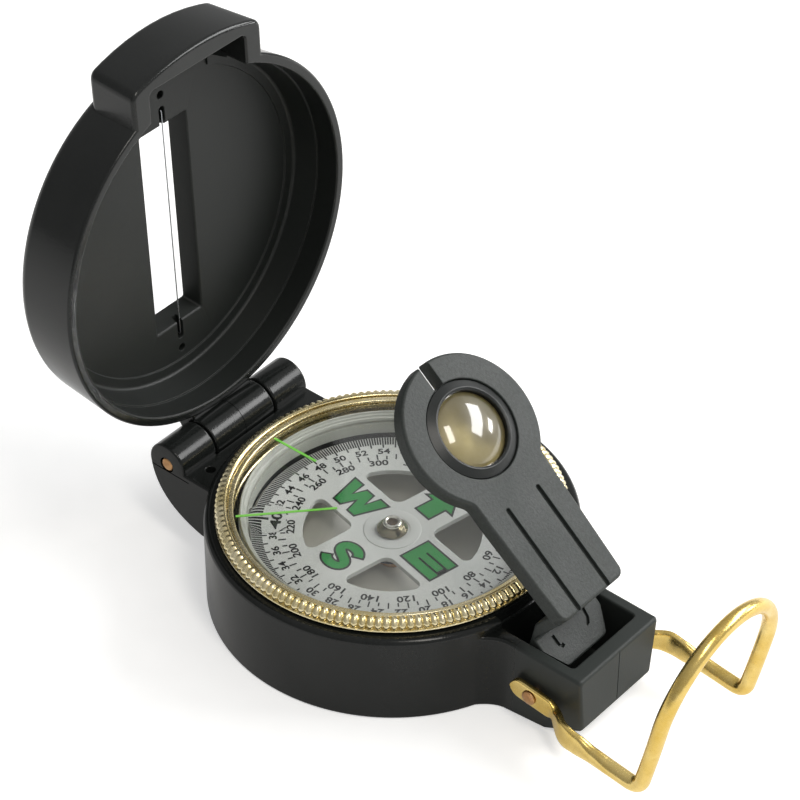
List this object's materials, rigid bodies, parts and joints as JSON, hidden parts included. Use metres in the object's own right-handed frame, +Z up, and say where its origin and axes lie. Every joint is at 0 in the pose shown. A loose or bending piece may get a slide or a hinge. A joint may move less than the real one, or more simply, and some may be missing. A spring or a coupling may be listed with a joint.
{
  "type": "lensatic compass",
  "caption": "Pocket sighting compass: round case with turning bezel and floating dial, hinged slotted cover with sight wire, folding magnifier arm and swinging wire thumb loop.",
  "frame": {"origin": "centre of the case's flat round underside", "axes": "+Z up out of the dial, +Y towards the cover hinge, -Y towards the lens arm and thumb loop, +X to the right when looking along +Y"},
  "size_m": [0.058, 0.1075, 0.0806],
  "materials": {
    "black_plastic": "satin moulded black",
    "grey_plastic": "matte moulded dark grey",
    "capsule_plastic": "pale grey",
    "gasket_rubber": "grey rubber",
    "capsule_glass": "clear",
    "crystal": "clear",
    "lens_glass": "clear with a warm tint",
    "gold_brass": "bright gold",
    "nickel": "bright nickel",
    "jewel": "amber",
    "steel": "bright",
    "dial_paint": "pale silver grey",
    "magnet": "dark grey",
    "lime_paint": "lime green luminous paint"
  },
  "bodies": {
    "base": {"base_case": "black_plastic", "capsule_cup": "capsule_plastic", "capsule_gasket": "gasket_rubber", "capsule_glass": "capsule_glass", "pivot_post": "gold_brass", "pivot_needle": "steel", "bezel_retainer": "steel", "hinge_pin": "gold_brass", "lens_arm_pin": "steel", "left_loop_rivet": "gold_brass", "right_loop_rivet": "gold_brass"},
    "dial": {"dial_card": "dial_paint", "dial_hub": "nickel", "pivot_jewel": "jewel", "dial_magnet": "magnet"},
    "bezel": {"bezel_ring": "gold_brass", "crystal_ring": "gold_brass", "bezel_crystal": "crystal", "long_line": "lime_paint", "short_line": "lime_paint", "reading_magnifier": "crystal"},
    "cover": {"cover": "black_plastic", "sight_wire": "steel"},
    "lens_arm": {"lens_arm": "grey_plastic", "eye_lens": "lens_glass", "lens_ring": "grey_plastic"},
    "thumb_loop": {"thumb_loop": "gold_brass"}
  },
  "joints": [
    {"name": "cover_hinge", "type": "hinge", "parent": "base", "child": "cover", "pos_m": [0, 0.0324, 0.01456], "axis": [-1, 0, 0], "range_deg": [-92.3, 88]},
    {"name": "lens_arm_fold", "type": "hinge", "parent": "base", "child": "lens_arm", "pos_m": [0, -0.0324, 0.0106], "axis": [1, 0, 0], "range_deg": [-39.6, 37.8]},
    {"name": "thumb_loop_swing", "type": "hinge", "parent": "base", "child": "thumb_loop", "pos_m": [0, -0.034, 0.0067], "axis": [-1, 0, 0], "range_deg": [-130, 65]},
    {"name": "bezel_turn", "type": "hinge", "parent": "base", "child": "bezel", "pos_m": [0, 0, 0.0153], "axis": [0, 0, 1], "continuous": true},
    {"name": "dial_turn", "type": "hinge", "parent": "base", "child": "dial", "pos_m": [0, 0, 0.0116], "axis": [0, 0, 1], "continuous": true}
  ],
  "couplings": [
    {"joint": "lens_arm_fold", "follows": "cover_hinge", "ratio": 0.428}
  ]
}
